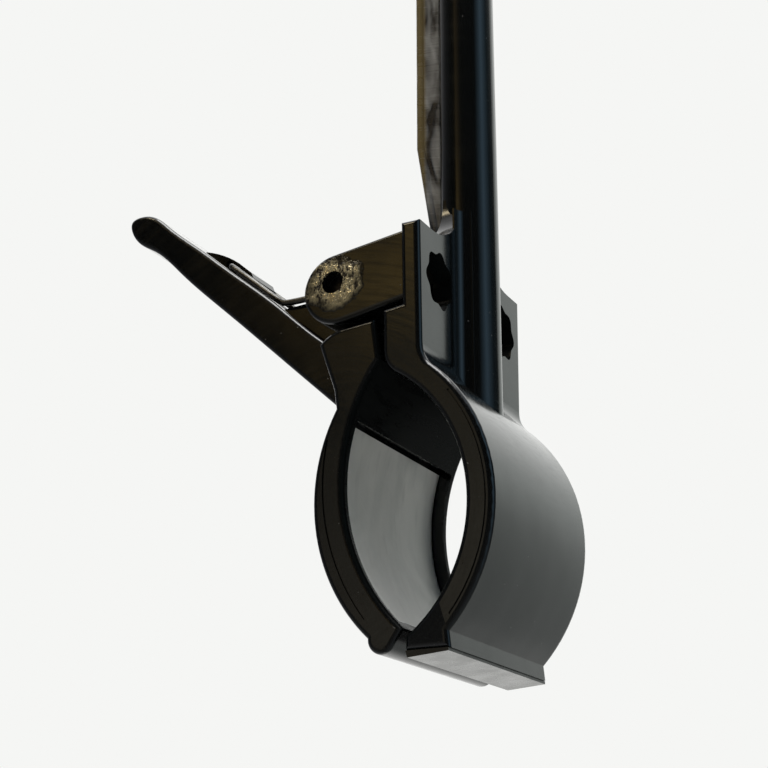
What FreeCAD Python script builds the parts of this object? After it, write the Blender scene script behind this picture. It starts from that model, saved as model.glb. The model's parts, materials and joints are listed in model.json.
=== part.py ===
import FreeCAD, Part
import math
import os

# Grabber with one fixed and one moving jaw, a squeeze lever and a straight shaft.
# The head is drawn with the hinge axis at x = 0, z = 0 (the axis runs along Y),
# the jaws hang below it and the shaft rises above it. At the end every piece is
# shifted so that the hanging hole at the top of the grip is the origin.
# All lengths are millimetres.

Vec = FreeCAD.Vector
os.makedirs("parts", exist_ok=True)

# ---- driving dimensions: bracket and shank
SHANK_X = 19.4            # shank axis, measured from the hinge axis
SHANK_R = 6.1
SHANK_TOP = 150.0
PLATE_IN = 15.7           # face of the bracket plate that carries the hinge lugs
PLATE_OUT = 19.7          # face of the bracket plate that carries the shank
PLATE_TOP = 9.5
PLATE_HALF = 25.4
SWOOP_R = 13.4            # concave shoulder from the plate's top edge up to the shank
JAW_ROUND = 1.1           # rounding of the jaws' end edges

# ---- driving dimensions: hinge
LUG_IN = 18.9             # inner face of each lug, from the middle plane
LUG_OUT = 24.4            # outer face of each lug
LUG_NOSE = (0.8, -1.4)
LUG_NOSE_R = 7.5
PIN_R = 2.0
PIN_RECESS_R = 2.4
PIN_RECESS = 2.6
PIN_HEAD_R = 3.8
PIN_HEAD = 1.6
RUNNING_GAP = 0.05
KNUCKLE_R = 6.4
KNUCKLE_HALF = 9.3
BUSH_R = 3.3
BUSH_LENGTH = 7.0

# ---- driving dimensions: jaws
JAW_BOTTOM = -75.9
TIP_LEFT = 15.3           # side of the fixed jaw's tip that meets the moving jaw
TIP_HALF = 23.2           # half width of the jaws at their tips
JAW_HALF = 24.2           # half width of the moving jaw at its shoulder
FIXED_BORE = (-2.4, -47.2)
FIXED_BORE_R = 30.5
FIXED_BACK = (-1.2, -47.3)
FIXED_BACK_R = 35.0
BACK_FILLET = 6.0         # concave turn from the plate into the back of the fixed jaw
MOVING_BORE = (41.3, -41.7)
MOVING_BORE_R = 39.0
BEAD = (10.3, -72.1)      # round bead along the moving jaw's tip
BEAD_R = 2.8
CHANNEL_DEPTH = 3.3       # recess between the end rims of each jaw
CHANNEL_HALF = 21.4
LINER = 0.6
RIM_GROOVE = 0.3

# ---- driving dimensions: lever and spring
LEVER_HALF = 12.0
LEVER_ROUND = 1.0
GUSSET_HALF = 9.3
WIRE_R = 0.7
BEND_R = 0.75             # small swell at each bend of the spring wire
COIL_R = 4.4
COIL_PITCH = 1.6
COIL_TURNS = 4
LEG_IN = 10.6             # inner leg of the spring, from the middle plane
LEVER_FOOT = (-19.9, 4.1)
EYE_BAR = (-35.0, 16.9)
EYE_R = 0.8
EYE_HALF = 4.6

# ---- driving dimensions: shaft and grip
COUPLER_R = 8.8
COUPLER_LOW = 136.0
COUPLER_HIGH = 166.0
SCREW_R = 1.25
SCREW_HEAD_R = 2.5
TUBE_TOP = 276.0
TUBE_WALL = 1.2
COLLAR_LOW = 172.0
GRIP_LOW = 178.0
GRIP_HIGH = 272.0
GRIP_R = 12.6
CAP_R = 13.2
HANG_Z = 292.0            # height of the hanging hole above the hinge axis
HANG_R = 3.5
HANG_HALF = 3.5

pieces = {}


# ---- drawing helpers
def at(point, y=0.0):
    return Vec(point[0], y, point[1])


def is_arc(step):
    return isinstance(step[0], tuple)


def outline(start, *steps):
    """Closed outline in the XZ plane; a step is a point, or (middle, end) of an arc."""
    edges = []
    here = start
    for step in steps:
        if is_arc(step):
            middle, end = step
            edges.append(Part.Arc(at(here), at(middle), at(end)).toShape())
        else:
            end = step
            edges.append(Part.LineSegment(at(here), at(end)).toShape())
        here = end
    if at(here).distanceToPoint(at(start)) > 1e-6:
        edges.append(Part.LineSegment(at(here), at(start)).toShape())
    return Part.Wire(edges)


def prism(wire, y_low, y_high):
    face = Part.Face(wire)
    face.translate(Vec(0, y_low, 0))
    return face.extrude(Vec(0, y_high - y_low, 0))


def on_circle(centre, radius, degrees):
    turn = math.radians(degrees)
    return (centre[0] + radius * math.cos(turn), centre[1] + radius * math.sin(turn))


def band(centre, inner, outer, low, high):
    """Part of a ring between two radii and two angles, as an outline."""
    middle = (low + high) / 2
    return outline(
        on_circle(centre, outer, low),
        (on_circle(centre, outer, middle), on_circle(centre, outer, high)),
        on_circle(centre, inner, high),
        (on_circle(centre, inner, middle), on_circle(centre, inner, low)),
    )


def y_cylinder(radius, y_low, y_high, centre=(0.0, 0.0)):
    return Part.makeCylinder(radius, y_high - y_low, at(centre, y_low), Vec(0, 1, 0))


def z_cylinder(radius, z_low, z_high):
    return Part.makeCylinder(radius, z_high - z_low, Vec(SHANK_X, 0, z_low), Vec(0, 0, 1))


def z_ring(inner, outer, z_low, z_high):
    return z_cylinder(outer, z_low, z_high).cut(z_cylinder(inner, z_low, z_high))


def wire_run(start, end, radius=WIRE_R):
    return Part.makeCylinder(radius, (end - start).Length, start, end - start)


def ball(centre, radius=BEND_R):
    return Part.makeSphere(radius, centre)


def joined(shapes):
    whole = shapes[0].fuse(shapes[1:])
    return whole.removeSplitter()


def slab(points, x_low, x_high):
    """Prism along X from (y, z) points."""
    corners = [Vec(x_low, y, z) for y, z in points]
    face = Part.Face(Part.makePolygon(corners + corners[:1]))
    return face.extrude(Vec(x_high - x_low, 0, 0))


def tapered_block(top_half, inset=0.0):
    """Block with sides that lean in from the top of the head to the jaw tips."""
    top = PLATE_TOP + 20
    low = JAW_BOTTOM - 20
    lean = (top_half - TIP_HALF) / (PLATE_TOP - JAW_BOTTOM)
    high_y = top_half + lean * (top - PLATE_TOP) - inset
    low_y = TIP_HALF + lean * (low - JAW_BOTTOM) - inset
    return slab([(-high_y, top), (high_y, top), (low_y, low), (-low_y, low)], -80, 80)


def end_edges(shape, half_width):
    """Edges that lie in the two end planes of a prism."""
    chosen = []
    for edge in shape.Edges:
        box = edge.BoundBox
        if box.YLength < 1e-6 and abs(abs(box.YMin) - half_width) < 1e-6:
            chosen.append(edge)
    return chosen


def tapered_prism(wire, top_half):
    """Prism between the leaning sides, with all edges of its two end faces rounded."""
    solid = prism(wire, -40, 40).common(tapered_block(top_half))
    rims = []
    for face in solid.Faces:
        u_low, u_high, v_low, v_high = face.ParameterRange
        normal = face.normalAt((u_low + u_high) / 2, (v_low + v_high) / 2)
        if abs(normal.y) > 0.9:
            rims += face.OuterWire.Edges
    return solid.makeFillet(JAW_ROUND, rims)


# ---- fixed jaw, bracket and shank in one moulding
def fixed_profile():
    turn_x = PLATE_OUT + BACK_FILLET - FIXED_BACK[0]
    reach = FIXED_BACK_R + BACK_FILLET
    turn = (PLATE_OUT + BACK_FILLET, FIXED_BACK[1] + math.sqrt(reach ** 2 - turn_x ** 2))
    meet = math.degrees(math.acos(turn_x / reach))
    back_low = -44.0
    bore_high = on_circle(FIXED_BORE, FIXED_BORE_R, 58.2)
    bore_low = on_circle(FIXED_BORE, FIXED_BORE_R, -54.0)
    return outline(
        (PLATE_IN, PLATE_TOP),
        (PLATE_OUT, PLATE_TOP),
        (PLATE_OUT, turn[1]),
        (on_circle(turn, BACK_FILLET, 180 + meet / 2), on_circle(turn, BACK_FILLET, 180 + meet)),
        (on_circle(FIXED_BACK, FIXED_BACK_R, 0), on_circle(FIXED_BACK, FIXED_BACK_R, back_low)),
        (24.3, -74.6),
        (TIP_LEFT, -74.6),
        bore_low,
        (on_circle(FIXED_BORE, FIXED_BORE_R, 1), bore_high),
        ((12.0, -19.2), (11.5, -16.6)),
        (11.5, -8.2),
        (PLATE_IN, -7.7),
    )


def lug_profile():
    top_tangent = on_circle(LUG_NOSE, LUG_NOSE_R, 97.4)
    bottom_tangent = on_circle(LUG_NOSE, LUG_NOSE_R, -79.7)
    root = PLATE_IN + 0.8
    return outline(
        (root, 8.4),
        top_tangent,
        (on_circle(LUG_NOSE, LUG_NOSE_R, 180), bottom_tangent),
        (root, -6.3),
    )


def lug(side):
    low, high = sorted((side * LUG_IN, side * LUG_OUT))
    solid = prism(lug_profile(), low, high)
    outer = []
    for edge in solid.Edges:
        box = edge.BoundBox
        if box.YLength < 1e-6 and abs(box.YMin - side * LUG_OUT) < 1e-6 and box.XMin < PLATE_IN:
            outer.append(edge)
    return solid.makeFillet(0.9, outer)


def window(side):
    """Opening in the plate with a wavy edge, beside the shank at hinge height."""
    lobes = 7
    points = []
    for step in range(8 * lobes):
        turn = 2 * math.pi * step / (8 * lobes)
        wave = 1 + 0.075 * math.cos(lobes * turn + 0.6)
        y = side * (15.8 + 5.7 * wave * math.cos(turn))
        z = -0.3 + 5.8 * wave * math.sin(turn)
        points.append(Vec(PLATE_IN - 0.2, y, z))
    curve = Part.BSplineCurve()
    curve.interpolate(points, True)
    face = Part.Face(Part.Wire([curve.toShape()]))
    return face.extrude(Vec(8, 0, 0))


SADDLE_R = 6.8             # clears the knuckle
SADDLE_HALF = 9.6          # clears the spring's coils


def saddle():
    """Block behind the plate that backs up the shank and closes off the knuckle."""
    return prism(outline(
        on_circle((0, 0), SADDLE_R, 65),
        (on_circle((0, 0), SADDLE_R, 42), on_circle((0, 0), SADDLE_R, 19)),
        (PLATE_IN + 0.4, 2.2),
        (PLATE_IN + 0.4, 8.1),
    ), -SADDLE_HALF, SADDLE_HALF)


def swoop(side):
    """Thin shoulder that carries the plate's top edge up to the shank."""
    centre_y = SHANK_R - 0.8 + SWOOP_R
    centre_z = PLATE_TOP + SWOOP_R
    far = Vec(PLATE_IN, side * centre_y, PLATE_TOP - 0.5)
    start = Vec(PLATE_IN, side * centre_y, PLATE_TOP)
    slant = SWOOP_R * math.cos(math.radians(45))
    middle = Vec(PLATE_IN, side * (centre_y - slant), centre_z - slant)
    end = Vec(PLATE_IN, side * (SHANK_R - 0.8), centre_z)
    inside = Vec(PLATE_IN, side * 2.0, centre_z)
    corner = Vec(PLATE_IN, side * 2.0, PLATE_TOP - 0.5)
    edges = [
        Part.LineSegment(far, start).toShape(),
        Part.Arc(start, middle, end).toShape(),
        Part.LineSegment(end, inside).toShape(),
        Part.LineSegment(inside, corner).toShape(),
        Part.LineSegment(corner, far).toShape(),
    ]
    return Part.Face(Part.Wire(edges)).extrude(Vec(PLATE_OUT - PLATE_IN, 0, 0))


def shank_flank(side):
    """Concave fillet between the shank and the plate's outer face."""
    radius = 3.0
    reach = math.sqrt((SHANK_R + radius) ** 2 - (PLATE_OUT + radius - SHANK_X) ** 2)
    axis = Vec(PLATE_OUT + radius, side * reach, -30)
    height = PLATE_TOP + SWOOP_R - 4 - axis.z
    y_low, y_high = sorted((side * 3.0, side * reach))
    block = Part.makeBox(radius, y_high - y_low, height, Vec(PLATE_OUT - 0.4, y_low, axis.z))
    return block.cut(Part.makeCylinder(radius, height, axis, Vec(0, 0, 1)))


RIB_FRONT = 7.2
RIB_PATH = [(11.8, 9.0), (10.2, 19.7), (RIB_FRONT, 39.5), (RIB_FRONT, 118.0), (12.6, 132.0)]


def rib():
    """Web on the lever side of the shank, with a bead along its free edge."""
    inside = SHANK_X - 2
    web = prism(outline((inside, 9.0), *RIB_PATH, (inside, 132.0)), -0.9, 0.9)
    bead = []
    for low, high in zip(RIB_PATH, RIB_PATH[1:]):
        bead.append(wire_run(at(low), at(high), 1.25))
    for point in RIB_PATH:
        bead.append(ball(at(point), 1.25))
    shifted = [shape.translated(Vec(1.25, 0, 0)) for shape in bead]
    return [web.translated(Vec(0.6, 0, 0))] + shifted


def end_groove(profile_band, half_at_top):
    """Shallow groove in both end faces of a jaw, between its inner and outer edges."""
    whole = prism(profile_band, -40, 40)
    return whole.cut(tapered_block(half_at_top, RIM_GROOVE))


def build_fixed_jaw():
    body = tapered_prism(fixed_profile(), PLATE_HALF)
    channel = band(FIXED_BORE, FIXED_BORE_R - 3, FIXED_BORE_R + CHANNEL_DEPTH, -46, 44)
    body = body.cut(prism(channel, -CHANNEL_HALF, CHANNEL_HALF))
    groove = band(FIXED_BACK, FIXED_BACK_R - 1.75, FIXED_BACK_R - 1.35, -40, 38)
    body = body.cut(end_groove(groove, PLATE_HALF))
    shank = z_cylinder(SHANK_R, -32, SHANK_TOP)
    keep_clear = y_cylinder(FIXED_BORE_R + CHANNEL_DEPTH + 0.6, -30, 30, FIXED_BORE)
    additions = [shank, saddle(), lug(-1), lug(1), swoop(-1), swoop(1)]
    additions += [shank_flank(-1), shank_flank(1)]
    additions += rib()
    trimmed = [shape.cut(keep_clear) for shape in additions]
    body = joined([body] + trimmed)
    cuts = [window(-1), window(1)]
    cuts.append(y_cylinder(PIN_R, -30, 30))
    cuts.append(y_cylinder(PIN_RECESS_R, -30, -LUG_OUT + PIN_RECESS))
    cuts.append(screw_shape(COUPLER_LOW + 7))
    for shape in cuts:
        body = body.cut(shape)
    return body


# ---- screws that hold the shank and the tube in the coupler
def screw_shape(height):
    head_low = -COUPLER_R - 0.2
    shank = Part.makeCylinder(SCREW_R, 7.0, Vec(SHANK_X, head_low, height), Vec(0, 1, 0))
    head = Part.makeCone(SCREW_HEAD_R, SCREW_R, 1.5, Vec(SHANK_X, head_low, height), Vec(0, 1, 0))
    return shank.fuse(head)


def screw_with_cross(height):
    screw = screw_shape(height)
    depth = 0.8
    top = -COUPLER_R - 0.2
    for size_x, size_z in ((2.8, 0.6), (0.6, 2.8)):
        corner = Vec(SHANK_X - size_x / 2, top, height - size_z / 2)
        screw = screw.cut(Part.makeBox(size_x, depth, size_z, corner))
    return screw


SCREW_HEIGHTS = (COUPLER_LOW + 7, COUPLER_HIGH - 7)


# ---- pressed-on tip plate under the fixed jaw
def build_tip_plate():
    profile = outline((TIP_LEFT + 0.1, -74.6), (24.0, -74.6), (24.0, -75.2),
                      (TIP_LEFT + 0.5, JAW_BOTTOM))
    return prism(profile, -TIP_HALF + 0.3, TIP_HALF - 0.3)


def build_fixed_liner():
    floor = FIXED_BORE_R + CHANNEL_DEPTH
    shape = band(FIXED_BORE, floor - LINER, floor, -45, 43)
    return prism(shape, -CHANNEL_HALF + 0.3, CHANNEL_HALF - 0.3)


def build_moving_liner():
    floor = MOVING_BORE_R + CHANNEL_DEPTH
    shape = band(MOVING_BORE, floor - LINER, floor, 162, 223)
    return prism(shape, -CHANNEL_HALF + 0.3, CHANNEL_HALF - 0.3)


# ---- moving jaw: jaw band, shoulder, knuckle, gusset and lever in one moulding
def tangent_point(point, centre, radius, side):
    """Where a straight line from a point touches a circle; side is 1 or -1."""
    reach = math.hypot(point[0] - centre[0], point[1] - centre[1])
    towards = math.degrees(math.atan2(point[1] - centre[1], point[0] - centre[0]))
    spread = math.degrees(math.acos(radius / reach))
    return on_circle(centre, radius, towards + side * spread)


def moving_profile():
    shoulder_foot = on_circle(MOVING_BORE, MOVING_BORE_R, 142.4)
    bore_tip = on_circle(MOVING_BORE, MOVING_BORE_R, 227.5)
    bead_right = tangent_point(bore_tip, BEAD, BEAD_R, -1)
    return outline(
        (-3.3, -12.65),
        ((-1.1, -11.0), (1.7, -10.0)),
        (9.3, -9.3),
        shoulder_foot,
        (on_circle(MOVING_BORE, MOVING_BORE_R, 190), bore_tip),
        bead_right,
        (on_circle(BEAD, BEAD_R, -95), on_circle(BEAD, BEAD_R, 175)),
        ((-4.2, -43.5), (0.6, -26.6)),
        (0.1, -22.6),
    )


def spline(points):
    curve = Part.BSplineCurve()
    curve.interpolate([at(point) for point in points])
    return curve.toShape()


def lever_profile():
    """Side view of the lever: thick at the root, thin near the rounded tip."""
    root_top = (-3.0, -11.0)
    root_low = (1.8, -28.5)
    skin = spline([
        root_top, (-11.2, -4.9), (-21.9, 4.8), (-34.0, 14.9), (-41.7, 21.4), (-50.5, 28.7),
        (-57.2, 32.9), (-61.0, 32.0), (-60.0, 27.8), (-54.3, 23.4), (-46.7, 16.4),
        (-34.0, 4.5), (-18.5, -9.8), (-8.0, -19.5), root_low,
    ])
    return Part.Wire([skin, Part.LineSegment(at(root_low), at(root_top)).toShape()])


def grip_bumps():
    """Three shallow cross ridges on the finger side of the lever."""
    ridges = []
    for step in range(3):
        centre = (-38.2 + 4.2 * step, 12.5 - 4.0 * step)
        ridges.append(y_cylinder(2.6, -LEVER_HALF + 0.8, LEVER_HALF - 0.8, centre))
    return ridges


def spring_eye():
    """Raised loop on the lever that holds the cross bar of the spring."""
    outer = outline(
        (-44.6, 23.9),
        ((-39.6, 21.9), (-35.6, 19.3)),
        (-32.2, 16.3),
        (-31.6, 14.9),
        (-32.4, 12.6),
        (-45.0, 23.2),
    )
    slot_end = (-38.2, 19.6)
    hole = outline(
        on_circle(EYE_BAR, EYE_R, 48),
        (on_circle(EYE_BAR, EYE_R, -42), on_circle(EYE_BAR, EYE_R, -132)),
        on_circle(slot_end, EYE_R, -132),
        (on_circle(slot_end, EYE_R, 138), on_circle(slot_end, EYE_R, 48)),
    )
    return prism(outer, -EYE_HALF, EYE_HALF), prism(hole, -EYE_HALF - 1, EYE_HALF + 1)


def build_moving_jaw():
    jaw = tapered_prism(moving_profile(), JAW_HALF)
    channel = band(MOVING_BORE, MOVING_BORE_R - 4, MOVING_BORE_R + CHANNEL_DEPTH, 161, 224)
    jaw = jaw.cut(prism(channel, -CHANNEL_HALF, CHANNEL_HALF))
    groove = band(MOVING_BORE, MOVING_BORE_R + 4.0, MOVING_BORE_R + 4.4, 168, 218)
    jaw = jaw.cut(end_groove(groove, JAW_HALF))
    lever = prism(lever_profile(), -LEVER_HALF, LEVER_HALF)
    rims = [edge for edge in end_edges(lever, LEVER_HALF) if edge.Length > 100]
    lever = lever.makeFillet(LEVER_ROUND, rims)
    knuckle = y_cylinder(KNUCKLE_R, -KNUCKLE_HALF, KNUCKLE_HALF)
    cheek = prism(outline((-6.1, 1.8), (6.0, 2.0), (7.6, -9.6), (7.6, -12), (-4.5, -14)),
                  -KNUCKLE_HALF, KNUCKLE_HALF)
    gusset = prism(outline((-20.6, 3.4), (-0.5, 4.6), (-1.5, -11), (-6.0, -9.0)),
                   -GUSSET_HALF, GUSSET_HALF)
    eye, eye_hole = spring_eye()
    body = joined([jaw, lever, knuckle, cheek, gusset, eye] + grip_bumps())
    body = body.cut(eye_hole)
    body = body.cut(y_cylinder(BUSH_R, -20, 20))
    return body


# ---- hinge hardware
def build_hinge_pin():
    head_high = LUG_OUT + PIN_HEAD
    pin = y_cylinder(PIN_R, -LUG_OUT + PIN_RECESS + 0.2, head_high - 0.2)
    head = y_cylinder(PIN_HEAD_R, LUG_OUT, head_high)
    head = head.makeFillet(0.7, [head.Edges[0]])
    return pin.fuse(head).removeSplitter()


def build_bushes():
    bore = PIN_R + RUNNING_GAP
    bushes = []
    for side in (-1, 1):
        low, high = sorted((side * (KNUCKLE_HALF - BUSH_LENGTH), side * KNUCKLE_HALF))
        tube = y_cylinder(BUSH_R, low, high)
        bushes.append(tube.cut(y_cylinder(bore, low - 1, high + 1)))
    return Part.makeCompound(bushes)


def build_washers():
    washers = []
    for side in (-1, 1):
        low, high = sorted((side * (LUG_IN - 1.0), side * LUG_IN))
        washers.append(y_cylinder(5.2, low, high).cut(y_cylinder(PIN_R, low - 1, high + 1)))
    return Part.makeCompound(washers)


def coil(side):
    """Close-wound coil round the pin, from the inner leg outwards, starting at the top."""
    height = COIL_PITCH * COIL_TURNS
    helix = Part.makeHelix(COIL_PITCH, height, COIL_R)
    ring = Part.Wire([Part.Circle(Vec(COIL_R, 0, 0), Vec(0, 1, 0), WIRE_R).toShape()])
    solid = Part.Wire(helix.Edges).makePipeShell([ring], True, True)
    solid.rotate(Vec(0, 0, 0), Vec(0, 0, 1), 90)
    if side > 0:
        solid.rotate(Vec(0, 0, 0), Vec(1, 0, 0), -90)
        solid = solid.mirror(Vec(0, 0, 0), Vec(0, 0, 1))
    else:
        solid.rotate(Vec(0, 0, 0), Vec(1, 0, 0), 90)
    return solid.translated(Vec(0, side * LEG_IN, 0))


def joined_one_by_one(shapes):
    whole = shapes[0]
    for shape in shapes[1:]:
        whole = whole.fuse(shape)
    return whole


def spring_half(side):
    """One coil with its leg to the lever's eye and its leg to the bracket."""
    leg_out = LEG_IN + COIL_PITCH * COIL_TURNS
    start = Vec(0, side * LEG_IN, COIL_R)
    foot = at(LEVER_FOOT, side * LEG_IN)
    bend = at(EYE_BAR, side * (LEG_IN - 1.5))
    top = Vec(0, side * leg_out, COIL_R)
    tail = Vec(PLATE_IN - BEND_R - 0.02, side * leg_out, 7.6)
    lever_leg = [wire_run(start, foot), ball(start), ball(foot), wire_run(foot, bend), ball(bend)]
    bracket_leg = [wire_run(top, tail), ball(top), ball(tail)]
    legs = [joined_one_by_one(lever_leg), joined_one_by_one(bracket_leg)]
    return joined_one_by_one([coil(side)] + legs)


def build_spring():
    """Double torsion spring: two coils and a cross bar through the lever's eye."""
    bar = wire_run(at(EYE_BAR, -LEG_IN + 1.5), at(EYE_BAR, LEG_IN - 1.5))
    return joined_one_by_one([spring_half(-1), bar, spring_half(1)])


# ---- shaft and grip
def build_coupler():
    body = z_ring(SHANK_R, COUPLER_R, COUPLER_LOW, COUPLER_HIGH)
    body = body.cut(Part.makeBox(20, 2.0, 10, Vec(SHANK_X - 20, -1.0, COUPLER_LOW - 1)))
    for height in SCREW_HEIGHTS:
        body = body.cut(screw_shape(height))
    rims = [edge for edge in body.Edges
            if edge.BoundBox.ZLength < 1e-6 and edge.BoundBox.XLength > 1.9 * COUPLER_R]
    return body.makeFillet(0.8, rims)


def build_tube():
    inner = SHANK_R - TUBE_WALL
    tube = z_ring(inner, SHANK_R, SHANK_TOP + 0.2, TUBE_TOP)
    tube = tube.cut(screw_shape(SCREW_HEIGHTS[1]))
    return tube.cut(rivet_shape())


def rivet_shape():
    """Cross rivet through the tube and the cap's plug, under the grip."""
    height = TUBE_TOP - 8
    half = SHANK_R - 0.3
    return Part.makeCylinder(1.6, 2 * half, Vec(SHANK_X, -half, height), Vec(0, 1, 0))


def build_collar():
    ring = z_ring(SHANK_R, 11.2, COLLAR_LOW, GRIP_LOW)
    rims = [edge for edge in ring.Edges
            if edge.BoundBox.ZLength < 1e-6 and edge.BoundBox.XLength > 20]
    return ring.makeFillet(1.4, rims)


def grip_radius(height):
    """Outline of the grip: four finger waves and a slight swell at both ends."""
    share = (height - GRIP_LOW) / (GRIP_HIGH - GRIP_LOW)
    wave = 0.55 * math.cos(2 * math.pi * 4 * share)
    swell = 0.9 * (2 * share - 1) ** 2
    return GRIP_R - 1.6 + wave + swell


def build_grip():
    steps = 33
    heights = [GRIP_LOW + (GRIP_HIGH - GRIP_LOW) * index / (steps - 1) for index in range(steps)]
    points = [Vec(SHANK_X + grip_radius(height), 0, height) for height in heights]
    curve = Part.BSplineCurve()
    curve.interpolate(points)
    low_in = Vec(SHANK_X + SHANK_R, 0, GRIP_LOW)
    high_in = Vec(SHANK_X + SHANK_R, 0, GRIP_HIGH)
    edges = [
        Part.LineSegment(low_in, points[0]).toShape(),
        curve.toShape(),
        Part.LineSegment(points[-1], high_in).toShape(),
        Part.LineSegment(high_in, low_in).toShape(),
    ]
    face = Part.Face(Part.Wire(edges))
    return face.revolve(Vec(SHANK_X, 0, 0), Vec(0, 0, 1), 360)


def build_end_cap():
    """Cap over the grip's top end, with a plug in the tube and a flat hanging ear."""
    dome_high = GRIP_HIGH + 9.0
    skirt = z_cylinder(CAP_R, GRIP_HIGH, dome_high)
    top = [edge for edge in skirt.Edges if edge.BoundBox.ZMin > dome_high - 1e-6]
    skirt = skirt.makeFillet(4.0, top)
    ear_r = 8.0
    ear = prism(outline(
        (SHANK_X - ear_r, dome_high - 3),
        (SHANK_X - ear_r, HANG_Z),
        ((SHANK_X, HANG_Z + ear_r), (SHANK_X + ear_r, HANG_Z)),
        (SHANK_X + ear_r, dome_high - 3),
    ), -HANG_HALF, HANG_HALF)
    ear = ear.makeFillet(1.2, [edge for edge in end_edges(ear, HANG_HALF)
                               if edge.BoundBox.ZMax > dome_high])
    plug = z_cylinder(SHANK_R - TUBE_WALL, TUBE_TOP - 16, TUBE_TOP)
    socket = z_cylinder(SHANK_R, GRIP_HIGH - 1, TUBE_TOP)
    cap = joined([skirt.cut(socket), plug, ear])
    cap = cap.cut(y_cylinder(HANG_R, -20, 20, (SHANK_X, HANG_Z)))
    return cap.cut(rivet_shape())


pieces["fixed_jaw"] = build_fixed_jaw()
pieces["tip_plate"] = build_tip_plate()
pieces["fixed_jaw_liner"] = build_fixed_liner()
pieces["moving_jaw"] = build_moving_jaw()
pieces["moving_jaw_liner"] = build_moving_liner()
pieces["hinge_pin"] = build_hinge_pin()
pieces["knuckle_bushes"] = build_bushes()
pieces["thrust_washers"] = build_washers()
pieces["torsion_spring"] = build_spring()
pieces["shaft_coupler"] = build_coupler()
pieces["coupler_screws"] = Part.makeCompound([screw_with_cross(height) for height in SCREW_HEIGHTS])
pieces["shaft_tube"] = build_tube()
pieces["grip_collar"] = build_collar()
pieces["grip_sleeve"] = build_grip()
pieces["end_cap"] = build_end_cap()
pieces["cap_rivet"] = rivet_shape()

for name, shape in pieces.items():
    shape.translate(Vec(-SHANK_X, 0, -HANG_Z))
    shape.exportStep("parts/" + name + ".step")
    print(name, "valid", shape.isValid(), "solids", len(shape.Solids), "volume", round(shape.Volume, 1))
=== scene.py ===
import json
import math

import bpy
from mathutils import Matrix, Vector


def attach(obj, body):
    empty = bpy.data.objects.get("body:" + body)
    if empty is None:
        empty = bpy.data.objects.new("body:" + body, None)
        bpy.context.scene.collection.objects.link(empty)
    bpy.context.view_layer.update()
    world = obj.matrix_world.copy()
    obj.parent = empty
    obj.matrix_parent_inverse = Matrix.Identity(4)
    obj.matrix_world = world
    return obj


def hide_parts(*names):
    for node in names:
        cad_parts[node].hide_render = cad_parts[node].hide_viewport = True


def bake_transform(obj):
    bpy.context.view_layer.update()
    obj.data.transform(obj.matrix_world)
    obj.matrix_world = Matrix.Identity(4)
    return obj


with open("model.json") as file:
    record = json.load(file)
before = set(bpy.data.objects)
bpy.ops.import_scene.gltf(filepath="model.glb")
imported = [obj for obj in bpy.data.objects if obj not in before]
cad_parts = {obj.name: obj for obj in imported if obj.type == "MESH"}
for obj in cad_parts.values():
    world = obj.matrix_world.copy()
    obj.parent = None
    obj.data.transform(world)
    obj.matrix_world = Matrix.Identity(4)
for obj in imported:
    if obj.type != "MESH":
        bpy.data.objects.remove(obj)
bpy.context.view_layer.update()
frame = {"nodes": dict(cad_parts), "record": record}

NODES = frame["nodes"]

# Landmarks of the head, in metres. The hinge axis runs along Y through HINGE.
MM = 0.001
HINGE = Vector((-0.0194, 0.0, -0.292))
BORE = Vector((-0.0218, 0.0, -0.3392))        # centre of the fixed jaw's bore
MOVING_BORE = Vector((0.0219, 0.0, -0.3337))  # centre of the moving jaw's bore
INNER_REACH = 0.0345          # just past the fixed jaw's recess, from BORE
MOVING_INNER_REACH = 0.0428   # just past the moving jaw's recess, from MOVING_BORE

SPRING_WIRE_R = 0.7       # millimetres
PLASTIC_IOR = 1.5


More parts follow.
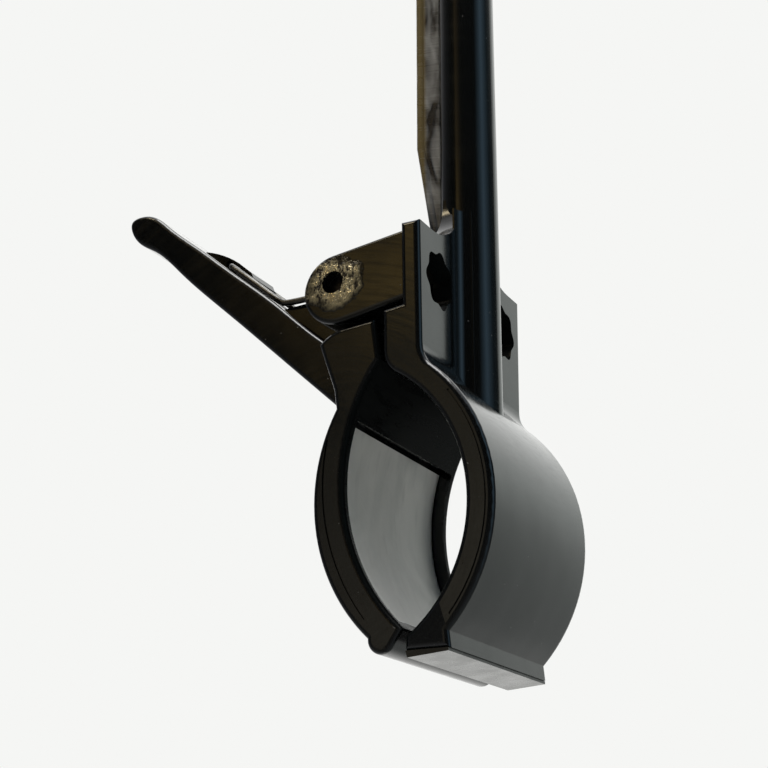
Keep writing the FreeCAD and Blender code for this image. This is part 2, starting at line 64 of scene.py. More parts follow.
# ---------------------------------------------------------------- node helpers
class Nodes:
    """Short calls that add and link shader nodes in one tree."""

    def __init__(self, tree):
        self.tree = tree
        tree.nodes.clear()

    def add(self, kind, **settings):
        node = self.tree.nodes.new(kind)
        for name, value in settings.items():
            setattr(node, name, value)
        return node

    def link(self, out, into):
        self.tree.links.new(out, into)

    def feed(self, node, name, value):
        socket = node.inputs[name]
        if hasattr(value, "is_output"):
            self.link(value, socket)
        else:
            socket.default_value = value

    def maths(self, operation, first, second=0.0, clamp=False):
        node = self.add("ShaderNodeMath", operation=operation, use_clamp=clamp)
        self.feed(node, 0, first)
        self.feed(node, 1, second)
        return node.outputs[0]

    def times(self, first, second):
        return self.maths("MULTIPLY", first, second)

    def plus(self, first, second, clamp=False):
        return self.maths("ADD", first, second, clamp)

    def minus(self, first, second):
        return self.maths("SUBTRACT", first, second)

    def size(self, value):
        return self.maths("ABSOLUTE", value)

    def vector(self, operation, first, second=(0.0, 0.0, 0.0), out=0):
        node = self.add("ShaderNodeVectorMath", operation=operation)
        self.feed(node, 0, first)
        self.feed(node, 1, second)
        return node.outputs[out]

    def stretch(self, where, factors):
        """Coordinates scaled axis by axis; a small factor draws a pattern out."""
        return self.vector("MULTIPLY", where, factors)

    def place(self):
        """Position on the object, in metres, in the frame's own axes."""
        return self.add("ShaderNodeTexCoord").outputs["Object"]

    def normal(self):
        """The surface normal's three parts."""
        return self.split(self.add("ShaderNodeNewGeometry").outputs["Normal"])

    def split(self, value):
        node = self.add("ShaderNodeSeparateXYZ")
        self.link(value, node.inputs[0])
        return node.outputs

    def join(self, x, y, z):
        node = self.add("ShaderNodeCombineXYZ")
        for index, value in enumerate((x, y, z)):
            self.feed(node, index, value)
        return node.outputs[0]

    def noise(self, where, scale, detail=2.0, rough=0.5, distort=0.0):
        node = self.add("ShaderNodeTexNoise")
        self.link(where, node.inputs["Vector"])
        node.inputs["Scale"].default_value = scale
        node.inputs["Detail"].default_value = detail
        node.inputs["Roughness"].default_value = rough
        node.inputs["Distortion"].default_value = distort
        return node.outputs["Fac"]

    def remap(self, value, low, high, to_low=0.0, to_high=1.0):
        node = self.add("ShaderNodeMapRange", clamp=True)
        self.feed(node, "Value", value)
        for name, number in (("From Min", low), ("From Max", high),
                             ("To Min", to_low), ("To Max", to_high)):
            self.feed(node, name, number)
        return node.outputs[0]

    def fade(self, value, low, high):
        """1 up to low, falling to 0 at high."""
        return self.remap(value, low, high, 1.0, 0.0)

    def mix(self, share, first, second):
        node = self.add("ShaderNodeMix", data_type="RGBA")
        share_socket, first_socket, second_socket = 0, 6, 7
        colour_output = 2
        self.feed(node, share_socket, share)
        for index, value in ((first_socket, first), (second_socket, second)):
            if hasattr(value, "is_output"):
                self.link(value, node.inputs[index])
            else:
                node.inputs[index].default_value = (*value, 1.0)
        return node.outputs[colour_output]

    def bump(self, height, distance, after=None):
        node = self.add("ShaderNodeBump")
        self.feed(node, "Height", height)
        node.inputs["Distance"].default_value = distance
        node.inputs["Strength"].default_value = 1.0
        if after is not None:
            self.link(after, node.inputs["Normal"])
        return node.outputs[0]


def material(name):
    made = bpy.data.materials.new(name)
    made.use_nodes = True
    tools = Nodes(made.node_tree)
    shader = tools.add("ShaderNodeBsdfPrincipled")
    output = tools.add("ShaderNodeOutputMaterial")
    tools.link(shader.outputs[0], output.inputs[0])
    return made, tools, shader


def finish_skin(n, shader, colour, rough, skin):
    """Feeds the three inputs that every material varies over its surface."""
    n.link(colour, shader.inputs["Base Color"])
    n.link(rough, shader.inputs["Roughness"])
    n.link(skin, shader.inputs["Normal"])


# ---------------------------------------------------------------- black moulding
def specks(n, where, scale, radius):
    """Sparse dust specks: 1 on a speck, 0 elsewhere. About a fifth of the cells have one."""
    cells = n.add("ShaderNodeTexVoronoi")
    n.link(where, cells.inputs["Vector"])
    cells.inputs["Scale"].default_value = scale
    spot = n.fade(cells.outputs["Distance"], radius * 0.6, radius)
    chosen = n.split(cells.outputs["Color"])[0]
    return n.times(spot, n.remap(chosen, 0.80, 0.82))


def ring_streaks(n, x, y, z):
    """Fine flow marks that run round the jaws' ring."""
    across = n.minus(x, BORE.x)
    up = n.minus(z, BORE.z)
    reach = n.maths("SQRT", n.plus(n.times(across, across), n.times(up, up)))
    turn = n.maths("ARCTAN2", up, across)
    drawn_out, along_depth = 0.004, 0.35
    ringwise = n.join(n.times(turn, drawn_out), n.times(y, along_depth), reach)
    return n.noise(ringwise, scale=1100.0, detail=4.0, rough=0.6)


def lug_wear_and_sheen(n, p, x, y, z):
    """Mask of the ragged, worn patch round the hinge hole on the front lug's outer face, where a
    brown sheen and gold glints are painted.
    """
    lug_face = n.fade(y, -0.0242, -0.0237)
    centre_x = HINGE.x + 0.0004
    centre_z = HINGE.z - 0.0002
    flatter = 0.85
    offset = n.join(n.times(n.minus(x, centre_x), flatter), 0.0, n.minus(z, centre_z))
    gap = n.vector("LENGTH", offset, out=1)
    ragged = n.times(n.minus(n.noise(p, scale=380.0, detail=3.0, rough=0.6), 0.5), 0.005)
    full, gone = 0.0036, 0.0060
    return n.times(n.fade(n.plus(gap, ragged), full, gone), lug_face)


def rib_masks(n, x, y, z):
    """Masks of the shank's thin rib and of its free edge, where a grey wavy reflection and a brown
    edge sheen are painted.
    """
    tall = n.times(n.remap(z, HINGE.z + 0.0092, HINGE.z + 0.0102),
                   n.fade(z, HINGE.z + 0.1342, HINGE.z + 0.1348))
    near_middle = n.maths("LESS_THAN", n.size(y), 0.0014)
    clear_of_lever = n.maths("GREATER_THAN", x, HINGE.x + 0.0055)
    band = n.times(tall, n.times(near_middle, clear_of_lever))
    rib = n.times(band, n.fade(x, HINGE.x + 0.0130, HINGE.x + 0.0134))
    edge = n.times(band, n.fade(x, HINGE.x + 0.0092, HINGE.x + 0.0100))
    return rib, edge


def tip_lean(n, x, z):
    """Bump that leans the end of the fixed jaw's tip block back, past a slanting crease."""
    crease_x = HINGE.x + 0.0221
    crease_z = HINGE.z - 0.0653
    across, down = 0.957, 0.289
    past = n.maths("MAXIMUM", n.plus(n.times(n.minus(crease_x, x), across),
                                     n.times(n.minus(crease_z, z), down)), 0.0)
    block = n.times(n.maths("GREATER_THAN", x, HINGE.x + 0.0151),
                    n.maths("LESS_THAN", z, HINGE.z - 0.050))
    slope = -0.24
    return n.bump(n.times(past, n.times(block, slope)), distance=1.0)


def black_moulding():
    """Gloss-black moulded plastic with flow marks, scuffs, sink marks and dust, and with painted
    reflections: a brown sheen and gold glints round the hinge hole, a grey wavy sheen and a brown
    edge sheen on the shank's rib.
    """
    made, n, shader = material("moulded_black")
    p = n.place()
    x, y, z = n.split(p)

    streaks = ring_streaks(n, x, y, z)
    cloud = n.noise(p, scale=70.0, detail=4.0, rough=0.55)
    fine = n.noise(p, scale=2600.0, detail=2.0, rough=0.5)
    hairs = n.noise(n.stretch(p, (1.0, 0.12, 1.0)), scale=2200.0, detail=3.0, rough=0.65)
    dust = specks(n, p, scale=520.0, radius=0.085)
    waves = n.noise(n.stretch(p, (1.0, 1.0, 0.45)), scale=190.0, detail=2.0, rough=0.5, distort=0.6)
    tear_and_glints = n.noise(n.stretch(p, (1.0, 1.0, 0.55)), scale=800.0, detail=4.0, rough=0.7)

    end_face = n.remap(n.size(n.normal()[1]), 0.8, 0.95)
    jaws = n.remap(z, HINGE.z - 0.012, HINGE.z - 0.022)
    wear_and_sheen = lug_wear_and_sheen(n, p, x, y, z)
    rib, edge = rib_masks(n, x, y, z)
    # Spots of painted gold glint inside the worn patch.
    painted_glints = n.times(n.remap(tear_and_glints, 0.42, 0.56), wear_and_sheen)

    black, dust_grey = (0.0024, 0.0028, 0.0028), (0.16, 0.16, 0.15)
    # Painted reflection on the rib: grey waves on its web and a brown sheen along its free edge.
    web_dark, web_painted_reflection = (0.012, 0.012, 0.014), (0.26, 0.257, 0.25)
    edge_painted_sheen = (0.13, 0.098, 0.045)
    # Painted reflection round the hinge hole: a brown sheen with gold glints.
    painted_brown_sheen, painted_gold_glint = (0.016, 0.010, 0.003), (0.95, 0.80, 0.48)
    web_painted_sheen = n.mix(n.remap(waves, 0.40, 0.68), web_dark, web_painted_reflection)
    web_painted_sheen = n.mix(edge, web_painted_sheen, edge_painted_sheen)
    colour = n.mix(n.times(dust, 0.55), black, dust_grey)
    # Paints the rib's reflection over the black.
    colour = n.mix(rib, colour, web_painted_sheen)
    # Paints the brown sheen and gold glints round the hinge hole.
    colour = n.mix(n.times(wear_and_sheen, 0.85), colour, n.mix(painted_glints, painted_brown_sheen, painted_gold_glint))

    rough = n.plus(n.remap(cloud, 0.35, 0.7, 0.10, 0.17),
                   n.times(n.remap(streaks, 0.45, 0.75, 0.0, 0.10), end_face))
    rough = n.plus(rough, n.times(jaws, n.remap(hairs, 0.45, 0.75, 0.0, 0.12)))
    rough = n.plus(rough, n.times(dust, 0.5))
    rough = n.plus(rough, n.times(wear_and_sheen, 0.10))
    rough = n.plus(rough, n.times(rib, 0.12), clamp=True)

    sink_marks, flow_marks, tear, web_waves, haze = 0.00006, 0.000012, 0.0007, 0.0006, 0.000002
    skin = n.bump(n.noise(p, scale=95.0, detail=1.0, rough=0.4), sink_marks, tip_lean(n, x, z))
    grooved = n.times(streaks, n.remap(end_face, 0.0, 1.0, 0.15, 1.0))
    skin = n.bump(grooved, flow_marks, skin)
    skin = n.bump(n.times(tear_and_glints, wear_and_sheen), tear, skin)
    skin = n.bump(n.times(waves, rib), web_waves, skin)
    skin = n.bump(fine, haze, skin)

    finish_skin(n, shader, colour, rough, skin)
    # Metallic on the painted gold glints, part of the painted reflection.
    n.link(painted_glints, shader.inputs["Metallic"])
    shader.inputs["IOR"].default_value = PLASTIC_IOR
    return made


def inner_painted_shade():
    """The jaws' inner skins, the plate's hidden side and the windows' walls: the same plastic with
    a duller, scrubbed surface and almost no reflection, a painted shade for these recesses.
    """
    made, n, shader = material("moulded_black_painted_shade")
    p = n.place()
    scrub = n.noise(n.stretch(p, (1.0, 0.25, 1.0)), scale=500.0, detail=4.0, rough=0.6)
    cloud = n.noise(p, scale=120.0, detail=3.0, rough=0.6)
    dark, light = (0.0016, 0.0020, 0.0020), (0.0050, 0.0062, 0.0060)
    finish_skin(n, shader, n.mix(cloud, dark, light), n.remap(scrub, 0.3, 0.75, 0.20, 0.42),
                n.bump(scrub, distance=0.00003))
    # Almost no reflection: painted shade for the recesses.
    shader.inputs["Specular IOR Level"].default_value = 0.03
    return made


# ---------------------------------------------------------------- other materials
def liner_material(name, dark, light, streaked, gloss):
    """Smooth lining of a jaw, with soft smears; with pale colours the tone and smears are a painted
    reflection of the pale surroundings.
    """
    made, n, shader = material(name)
    p = n.place()
    smear = n.noise(n.stretch(p, (1.0, 0.6, 0.35)), scale=90.0, detail=3.0, rough=0.5, distort=0.8)
    streak = n.noise(n.stretch(p, (1.0, 1.0, 0.2)), scale=420.0, detail=3.0, rough=0.55)
    colour = n.mix(n.remap(smear, 0.35, 0.65), dark, light)
    colour = n.mix(n.remap(streak, 0.55, 0.8, 0.0, 0.25), colour, streaked)
    finish_skin(n, shader, colour, n.remap(smear, 0.3, 0.7, 0.30, 0.42),
                n.bump(n.noise(p, scale=150.0, detail=3.0), distance=0.00015))
    shader.inputs["Specular IOR Level"].default_value = gloss
    return made


def metal(name, light, dark, low_rough, high_rough, grain=(1.0, 1.0, 1.0), scale=600.0):
    """Bare or plated steel with fine marks; grain draws the marks out."""
    made, n, shader = material(name)
    marks = n.noise(n.stretch(n.place(), grain), scale=scale, detail=4.0, rough=0.6)
    finish_skin(n, shader, n.mix(n.remap(marks, 0.35, 0.7), dark, light),
                n.remap(marks, 0.3, 0.7, low_rough, high_rough), n.bump(marks, distance=0.00002))
    shader.inputs["Metallic"].default_value = 1.0
    return made


def nylon():
    """Off-white nylon, slightly mottled."""
    made, n, shader = material("nylon_white")
    mottle = n.noise(n.place(), scale=700.0, detail=3.0)
    finish_skin(n, shader, n.mix(mottle, (0.62, 0.60, 0.54), (0.72, 0.70, 0.65)),
                n.remap(mottle, 0.3, 0.7, 0.32, 0.5), n.bump(mottle, distance=0.00003))
    shader.inputs["Subsurface Weight"].default_value = 0.1
    shader.inputs["Subsurface Scale"].default_value = MM
    return made


def tube_paint():
    """Satin black powder coat on the shaft tube."""
    made, n, shader = material("tube_black")
    p = n.place()
    peel = n.noise(p, scale=1900.0, detail=2.0, rough=0.5)
    cloud = n.noise(p, scale=60.0, detail=3.0)
    dust = specks(n, p, scale=420.0, radius=0.08)
    black, dust_grey = (0.008, 0.009, 0.010), (0.14, 0.14, 0.13)
    finish_skin(n, shader, n.mix(n.times(dust, 0.5), black, dust_grey),
                n.remap(cloud, 0.3, 0.7, 0.24, 0.36), n.bump(peel, distance=0.00003))
    return made


def rubber():
    """Soft black grip rubber with a fine stipple and dusty patches."""
    made, n, shader = material("grip_rubber_black")
    p = n.place()
    stipple = n.noise(p, scale=2400.0, detail=2.0, rough=0.6)
    dusty = n.remap(n.noise(p, scale=110.0, detail=3.0), 0.45, 0.75)
    finish_skin(n, shader, n.mix(dusty, (0.011, 0.011, 0.012), (0.024, 0.024, 0.023)),
                n.remap(stipple, 0.3, 0.7, 0.55, 0.72), n.bump(stipple, distance=0.00008))
    return made


def tip_material():
    """Plate beneath the fixed jaw's tip: cloudy grey where it faces down, a painted lighter tone
    for the bright light from below; black on its narrow sides.
    """
    made, n, shader = material("tip_plate_grey")
    p = n.place()
    cloud = n.noise(p, scale=160.0, detail=3.0)
    # Faces that look down are painted lighter: painted light from below.
    faces_down_painted_light = n.fade(n.normal()[2], -0.8, -0.6)
    underside_painted_light = n.mix(cloud, (0.050, 0.052, 0.048), (0.075, 0.078, 0.073))
    side_black = (0.003, 0.0033, 0.0033)
    finish_skin(n, shader, n.mix(faces_down_painted_light, side_black, underside_painted_light), n.remap(cloud, 0.3, 0.7, 0.22, 0.34),
                n.bump(n.noise(p, scale=500.0, detail=2.0), distance=0.00003))
    return made


MATERIALS = {
    "black_moulding": black_moulding(),
    "tip_moulding": tip_material(),
    # Moving jaw's liner: its pale grey with soft smears is a painted reflection of the pale
    # surroundings.
    "liner": liner_material("liner_painted_reflection", dark=(0.52, 0.53, 0.50), light=(0.80, 0.80, 0.76),
                            streaked=(0.28, 0.29, 0.28), gloss=0.5),
    "pin_steel": metal("pin_dark_steel", light=(0.07, 0.066, 0.07), dark=(0.015, 0.014, 0.016),
                       low_rough=0.25, high_rough=0.5),
    "nylon": nylon(),
    "spring_steel": metal("spring_oiled_steel", light=(0.16, 0.155, 0.145),
                          dark=(0.03, 0.03, 0.028),
                          low_rough=0.18, high_rough=0.4, grain=(0.3, 1.0, 0.3), scale=900.0),
    "zinc_steel": metal("zinc_plate", light=(0.62, 0.62, 0.60), dark=(0.38, 0.37, 0.33),
                        low_rough=0.22, high_rough=0.45),
    "black_tube": tube_paint(),
    "grip_rubber": rubber(),
}

INNER_PAINTED_SHADE = inner_painted_shade()
DARK_LINER = liner_material("liner_dark", dark=(0.008, 0.010, 0.010), light=(0.030, 0.036, 0.033),
                            streaked=(0.005, 0.006, 0.006), gloss=0.04)

slot_of = {part["node"]: part["material_slot"] for part in frame["record"]["subparts"]}
for name, node in NODES.items():
    node.data.materials.clear()
    node.data.materials.append(MATERIALS[slot_of[name]])
NODES["fixed_jaw_liner"].data.materials[0] = DARK_LINER


# ---------------------------------------------------------------- inner skins of the jaws: painted shade in the recesses
def looks_at(face, centre, reach):
    """True for a face of a jaw's bore or recess, which looks at the bore's centre."""
    half_depth, least_inward = 0.0236, 0.35
    out = face.center - centre
    out.y = 0.0
    inward = -face.normal.dot(out.normalized())
    return out.length < reach and abs(face.center.y) < half_depth and inward > least_inward


def behind_plate(face):
    """The plate's lug side, the saddle, the lugs' inner faces and the windows' walls."""
    place = face.center - HINGE
    side = abs(place.y)
    lug_side, lug_inner = 0.01565, 0.0191
    hidden = place.x < lug_side and side < lug_inner and -0.0085 < place.z < 0.0088
    through_plate = 0.0155 < place.x < 0.0198 and abs(face.normal.x) < 0.3
    at_window = 0.0092 < side < 0.0228 and abs(place.z) < 0.0076
    return hidden or (through_plate and at_window)


def in_fixed_jaw(face):
    return looks_at(face, BORE, INNER_REACH) or behind_plate(face)


def in_moving_jaw(face):
    tip_x = -0.003
    return looks_at(face, MOVING_BORE, MOVING_INNER_REACH) and face.center.x < tip_x


# Recess faces take the painted-shade material.
for name, is_inner in (("fixed_jaw", in_fixed_jaw), ("moving_jaw", in_moving_jaw)):
    jaw_mesh = NODES[name].data
    jaw_mesh.materials.append(INNER_PAINTED_SHADE)
    for face in jaw_mesh.polygons:
        if is_inner(face):
            face.material_index = 1


# ---------------------------------------------------------------- torsion spring
def finish_piece(name, mesh, slot_name):
    piece = bpy.data.objects.new(name, mesh)
    bpy.context.scene.collection.objects.link(piece)
    mesh.materials.append(MATERIALS[slot_name])
    for face in mesh.polygons:
        face.use_smooth = True
    return piece


def spring_path():
    """Centre line of the double torsion spring, from one tail to the other, in
    millimetres from the hinge."""
    coil_r, pitch, turns, leg_in = 4.4, 1.6, 4, 10.6
    leg_out = leg_in + pitch * turns
    steps = 28
    # the tail under the plate, then the coil from its outer end inwards
    half = [(14.9, leg_out, 7.6), (8.0, leg_out, 6.1), (3.0, leg_out, 5.05)]
    for index in range(steps * turns + 1):
        turn = 2 * math.pi * index / steps
        side = leg_out - pitch * index / steps
        half.append((coil_r * math.sin(turn), side, coil_r * math.cos(turn)))
    # the leg along the lever, then up into the eye
    half += [(-4.0, leg_in, 4.35), (-12.0, leg_in, 4.25), (-19.3, leg_in, 4.1),
             (-20.6, leg_in, 4.7), (-27.5, leg_in - 0.75, 10.6), (-34.2, leg_in - 1.4, 16.2),
             (-35.0, leg_in - 2.1, 16.9), (-35.0, leg_in - 4.0, 16.9)]
    return half + [(x, -y, z) for x, y, z in reversed(half)]


def wire_mesh(name, points, radius):
    """Round wire along a path, with closed ends."""
    curve = bpy.data.curves.new(name + "_path", "CURVE")
    curve.dimensions = "3D"
    spline = curve.splines.new("NURBS")
    spline.points.add(len(points) - 1)
    for point, place in zip(spline.points, points):
        point.co = (*(HINGE + Vector(place) * MM), 1.0)
    spline.use_endpoint_u = True
    spline.order_u = 3
    spline.resolution_u = 3
    curve.bevel_depth = radius * MM
    curve.bevel_resolution = 3
    curve.use_fill_caps = True
    holder = bpy.data.objects.new(name + "_path", curve)
    bpy.context.scene.collection.objects.link(holder)
    drawn = holder.evaluated_get(bpy.context.evaluated_depsgraph_get())
    mesh = bpy.data.meshes.new_from_object(drawn)
    mesh.materials.clear()
    bpy.data.objects.remove(holder)
    return mesh


spring = finish_piece("torsion_spring_wire",
                      wire_mesh("torsion_spring_wire", spring_path(), SPRING_WIRE_R),
                      "spring_steel")
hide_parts("torsion_spring")
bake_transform(spring)


# ---------------------------------------------------------------- grip sleeve
# Millimetres. The sleeve runs along Z from GRIP_LOW to GRIP_HIGH.
GRIP_LOW, GRIP_HIGH = -114.0, -20.0
GRIP_BORE_R = 6.13
GRIP_STEPS = 470          # rings along the sleeve
GRIP_SIDES = 160
PLAIN_END = 7.0           # length without grooves at each end
END_CHAMFER = 0.7
GROOVE_PITCH, GROOVE_HALF, GROOVE_DEPTH = 2.4, 0.55, 0.42
STRIP_EDGE, STRIP_SLOPE = 0.16, 7.0


def grip_radius(share):
    """Radius at a share of the sleeve's length: four finger waves, swollen ends."""
    middle, wave_size, waves, end_swell = 11.0, 0.55, 4, 0.9
    wave = wave_size * math.cos(2 * math.pi * waves * share)
    return middle + wave + end_swell * (2 * share - 1) ** 2


def grooved_radius(ring, radius, height, turn):
    """The outer radius, cut by the cross grooves, which four smooth strips interrupt."""
    on_end = ring < 3 or ring > GRIP_STEPS
    if on_end or height < GRIP_LOW + PLAIN_END or height > GRIP_HIGH - PLAIN_END:
        return radius
    place = (height - GRIP_LOW - PLAIN_END) % GROOVE_PITCH
    groove = max(0.0, 1 - (abs(place - GROOVE_PITCH / 2) / GROOVE_HALF) ** 2)
    grooved = min(1.0, max(0.0, (abs(math.sin(2 * turn)) - STRIP_EDGE) * STRIP_SLOPE))
    return radius - GROOVE_DEPTH * groove * grooved


def lathe(name, profile, sides, radius_at):
    """Closed surface of revolution about Z; radius_at trims each ring by angle."""
    points, faces = [], []
    for ring, (radius, height) in enumerate(profile):
        for side in range(sides):
            turn = 2 * math.pi * side / sides
            r = radius_at(ring, radius, height, turn)
            points.append((r * math.cos(turn) * MM, r * math.sin(turn) * MM, height * MM))
    count = len(profile)
    for ring in range(count):
        above = (ring + 1) % count
        for side in range(sides):
            after = (side + 1) % sides
            faces.append((ring * sides + side, ring * sides + after,
                          above * sides + after, above * sides + side))
    mesh = bpy.data.meshes.new(name)
    mesh.from_pydata(points, [], faces)
    mesh.validate()
    return mesh


def ribbed_grip():
    """Grip sleeve with finger waves and cross grooves."""
    outer = []
    for step in range(GRIP_STEPS + 1):
        share = step / GRIP_STEPS
        outer.append((grip_radius(share), GRIP_LOW + (GRIP_HIGH - GRIP_LOW) * share))
    profile = [(GRIP_BORE_R, GRIP_LOW), (outer[0][0] - END_CHAMFER, GRIP_LOW)]
    profile += outer
    profile += [(outer[-1][0] - END_CHAMFER, GRIP_HIGH), (GRIP_BORE_R, GRIP_HIGH)]
    return lathe("ribbed_grip", profile, GRIP_SIDES, grooved_radius)


grip = finish_piece("grip_sleeve_ribbed", ribbed_grip(), "grip_rubber")
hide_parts("grip_sleeve")
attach(grip, "frame")


# ---------------------------------------------------------------- floor
def floor():
    """A wide pale floor, a quarter of a metre below the hanging tool."""
    half, height, cells = 9.0, -0.62, 12
    points = [(-half + 2 * half * i / cells, -half + 2 * half * j / cells, height)
              for j in range(cells + 1) for i in range(cells + 1)]
    faces = [(j * (cells + 1) + i, j * (cells + 1) + i + 1,
              (j + 1) * (cells + 1) + i + 1, (j + 1) * (cells + 1) + i)
             for j in range(cells) for i in range(cells)]
    mesh = bpy.data.meshes.new("floor")
    mesh.from_pydata(points, [], faces)
    made, n, shader = material("floor_pale")
    tone = n.noise(n.place(), scale=3.0, detail=2.0)
    n.link(n.mix(tone, (0.80, 0.80, 0.79), (0.84, 0.84, 0.83)), shader.inputs["Base Color"])
    shader.inputs["Roughness"].default_value = 0.8
    mesh.materials.append(made)
    piece = bpy.data.objects.new("floor", mesh)
    bpy.context.scene.collection.objects.link(piece)
    piece.visible_glossy = False


floor()


# ---------------------------------------------------------------- light
def grey(level):
    return (level, level, level)


# Studio surroundings as bands of soft light round the object. BANDS gives a list of
# (turn, colour) for each height in degrees. The turn is in degrees round Z,
# anticlockwise from above, counted from FRONT_TURN.
FRONT_TURN = 27.65
PALE, PALE_LOW = (1.15, 1.15, 1.13), (1.1, 1.1, 1.08)
WHITE_BEHIND = [(-180, PALE), (-155, PALE_LOW), (-148, (0.12, 0.13, 0.15))]
BLUE_EDGE, BLUE = (0.22, 0.36, 0.48), (0.46, 0.74, 0.99)
FRONT_AND_BLUE = [(-22, grey(0.02)), (30, grey(0.02)), (45, BLUE_EDGE), (58, BLUE),
                  (72, BLUE_EDGE), (88, (0.05, 0.08, 0.10))]
WHITE_RIGHT = [(114, (0.04, 0.05, 0.05)), (119, (0.85, 0.92, 0.88)), (180, PALE)]
BANDS = {
    -35.0: [(-180, (1.2, 1.2, 1.17)), (-150, grey(0.9)), (-120, (0.35, 0.36, 0.38)),
            (-60, (0.12, 0.11, 0.09)), (0, grey(0.12)), (60, (0.2, 0.22, 0.24)),
            (110, (0.20, 0.22, 0.21)), (135, (0.26, 0.28, 0.27)), (165, (1.2, 1.2, 1.17)),
            (180, (1.2, 1.2, 1.17))],
    10.0: WHITE_BEHIND
          + [(-76, grey(0.04)), (-68, (0.17, 0.16, 0.14)), (-60, (0.24, 0.22, 0.18)),
             (-55, (0.40, 0.36, 0.28)), (-48, (0.60, 0.54, 0.42)), (-38, (0.12, 0.10, 0.07)),
             (-28, grey(0.03)), (30, grey(0.03)), (45, (0.20, 0.32, 0.42)),
             (58, (0.42, 0.66, 0.88)), (72, (0.20, 0.32, 0.42)), (88, (0.06, 0.08, 0.10)),
             (113, grey(0.06)), (119, (0.42, 0.47, 0.44)), (150, (1.1, 1.12, 1.1)),
             (180, (1.2, 1.2, 1.18))],
    18.5: WHITE_BEHIND
          + [(-72, grey(0.02)), (-58, grey(0.03)), (-55, (0.13, 0.12, 0.09)),
             (-50, (0.20, 0.18, 0.13)), (-36, (0.08, 0.06, 0.04))]
          + FRONT_AND_BLUE
          + [(114, (0.04, 0.05, 0.05)), (119, (0.75, 0.82, 0.78)), (180, PALE)],
    21.0: WHITE_BEHIND
          + [(-72, grey(0.02)), (-58, grey(0.02)), (-56.5, (0.16, 0.14, 0.08)),
             (-55, (0.70, 0.50, 0.20)), (-50, (0.85, 0.60, 0.22)), (-40, (0.22, 0.16, 0.07))]
          + FRONT_AND_BLUE + WHITE_RIGHT,
    23.2: WHITE_BEHIND
          + [(-72, grey(0.01)), (-59.5, grey(0.01)), (-57.8, (0.95, 0.65, 0.22)),
             (-50, (1.1, 0.76, 0.26)), (-40, (0.22, 0.16, 0.07))]
          + FRONT_AND_BLUE + WHITE_RIGHT,
    28.0: [(-180, (1.3, 1.3, 1.28)), (-150, grey(1.0)), (-140, (0.15, 0.15, 0.16)),
           (-72, grey(0.01)), (-58, grey(0.01)), (-54, (0.24, 0.17, 0.08)),
           (-48, (0.20, 0.14, 0.07)), (-34, grey(0.03))]
          + FRONT_AND_BLUE
          + [(112, (0.08, 0.09, 0.09)), (119, (1.0, 1.06, 1.02)), (180, (1.3, 1.3, 1.28))],
    48.0: [(-180, (2.2, 2.2, 2.15)), (-140, grey(1.0)), (-100, grey(0.15)),
           (-70, grey(0.03)), (-59, grey(0.03)), (-54, (0.26, 0.20, 0.12)),
           (-48, (0.22, 0.17, 0.10)), (-34, grey(0.04)), (-20, grey(0.03)),
           (30, grey(0.03)), (58, (0.55, 0.82, 1.05)), (84, (0.10, 0.14, 0.16)),
           (108, (0.5, 0.55, 0.55)), (125, (1.6, 1.63, 1.6)), (180, (1.95, 1.95, 1.9))],
    80.0: [(-180, grey(1.9)), (0, grey(1.3)), (180, grey(1.9))],
}
BACKDROP = (0.915, 0.92, 0.905, 1.0)


def band_colours(n, share, stops):
    """Colour round one band; share runs from 0 to 1 over the full turn."""
    ramp = n.add("ShaderNodeValToRGB")
    n.link(share, ramp.inputs[0])
    marks = ramp.color_ramp.elements
    while len(marks) > 1:
        marks.remove(marks[-1])
    for index, (degrees, tint) in enumerate(stops):
        place = min(1.0, max(0.0, (degrees + 180) / 360))
        mark = marks[0] if index == 0 else marks.new(place)
        mark.position = place
        mark.color = (*tint, 1.0)
    return ramp.outputs[0]


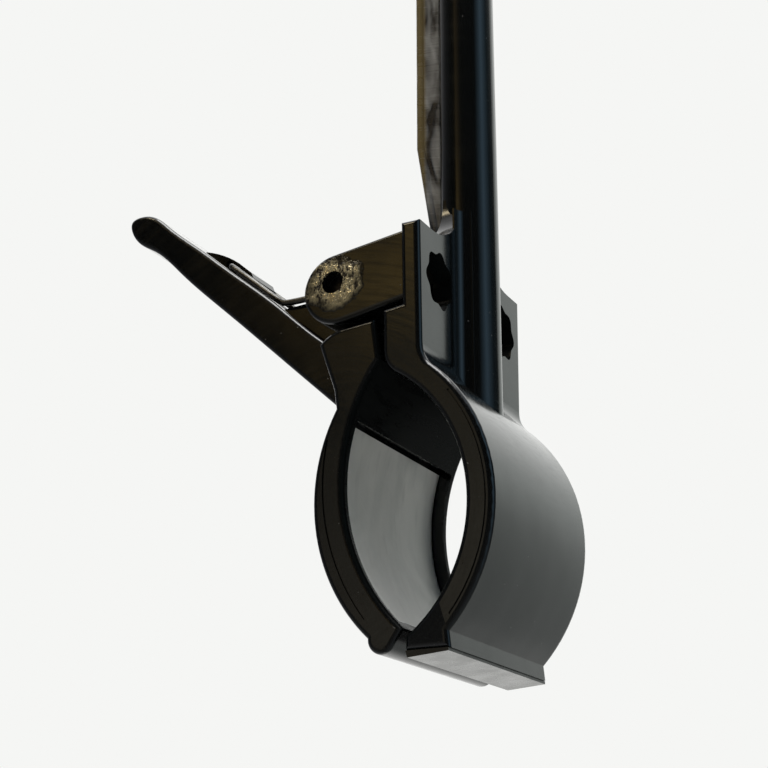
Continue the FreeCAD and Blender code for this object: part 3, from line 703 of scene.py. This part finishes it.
def surroundings():
    """World light from BANDS, with an even, near-white backdrop behind the object."""
    world = bpy.data.worlds.new("studio")
    bpy.context.scene.world = world
    world.use_nodes = True
    n = Nodes(world.node_tree)
    way = n.add("ShaderNodeTexCoord").outputs["Generated"]
    x, y, z = n.split(n.vector("NORMALIZE", way))
    sine = math.sin(math.radians(FRONT_TURN))
    cosine = math.cos(math.radians(FRONT_TURN))
    front = n.plus(n.times(x, sine), n.times(y, -cosine))
    right = n.plus(n.times(x, cosine), n.times(y, sine))
    share = n.remap(n.maths("ARCTAN2", right, front), -math.pi, math.pi)
    height = n.times(n.maths("ARCSINE", z), 180 / math.pi)
    levels = sorted(BANDS)
    colour = band_colours(n, share, BANDS[levels[0]])
    for below, level in zip(levels, levels[1:]):
        colour = n.mix(n.remap(height, below, level), colour, band_colours(n, share, BANDS[level]))
    lit = n.add("ShaderNodeBackground")
    n.link(colour, lit.inputs[0])
    plain = n.add("ShaderNodeBackground")
    plain.inputs[0].default_value = BACKDROP
    seen = n.add("ShaderNodeMixShader")
    n.link(n.add("ShaderNodeLightPath").outputs["Is Camera Ray"], seen.inputs[0])
    n.link(lit.outputs[0], seen.inputs[1])
    n.link(plain.outputs[0], seen.inputs[2])
    output = n.add("ShaderNodeOutputWorld")
    n.link(seen.outputs[0], output.inputs[0])


def soft_light(name, spot, aim, size, power, tint):
    """Round soft lamp at spot, turned to aim; metres and watts."""
    lamp = bpy.data.lights.new(name, "AREA")
    lamp.shape = "DISK"
    lamp.size = size
    lamp.energy = power
    lamp.color = tint
    holder = bpy.data.objects.new(name, lamp)
    bpy.context.scene.collection.objects.link(holder)
    holder.location = spot
    holder.rotation_mode = "QUATERNION"
    holder.rotation_quaternion = (Vector(aim) - Vector(spot)).to_track_quat("-Z", "Y")


surroundings()
soft_light("top_softbox", spot=(0.2, -0.3, 1.7), aim=(0, 0, -0.3),
           size=1.2, power=26.0, tint=(1.0, 1.0, 0.98))
soft_light("warm_lamp", spot=(-0.95, -1.15, 1.45), aim=HINGE,
           size=0.35, power=3.5, tint=(1.0, 0.84, 0.55))


# ---------------------------------------------------------------- camera
def camera():
    """Close view of the head from below, a little to its right."""
    spot = (0.1190, -0.2661, -0.4126)
    right = Vector((0.8862, 0.4634, 0.0023)).normalized()
    forward = Vector((-0.4373, 0.8346, 0.3350)).normalized()
    up = right.cross(forward).normalized()
    turn = Matrix((right, up, -forward)).transposed()
    lens = bpy.data.cameras.new("camera")
    lens.lens = 70.9
    lens.sensor_width = 36.0
    lens.clip_start = 0.01
    lens.clip_end = 50.0
    holder = bpy.data.objects.new("camera", lens)
    bpy.context.scene.collection.objects.link(holder)
    holder.matrix_world = Matrix.Translation(spot) @ turn.to_4x4()
    bpy.context.scene.camera = holder


camera()
bpy.context.scene.view_settings.view_transform = "Standard"
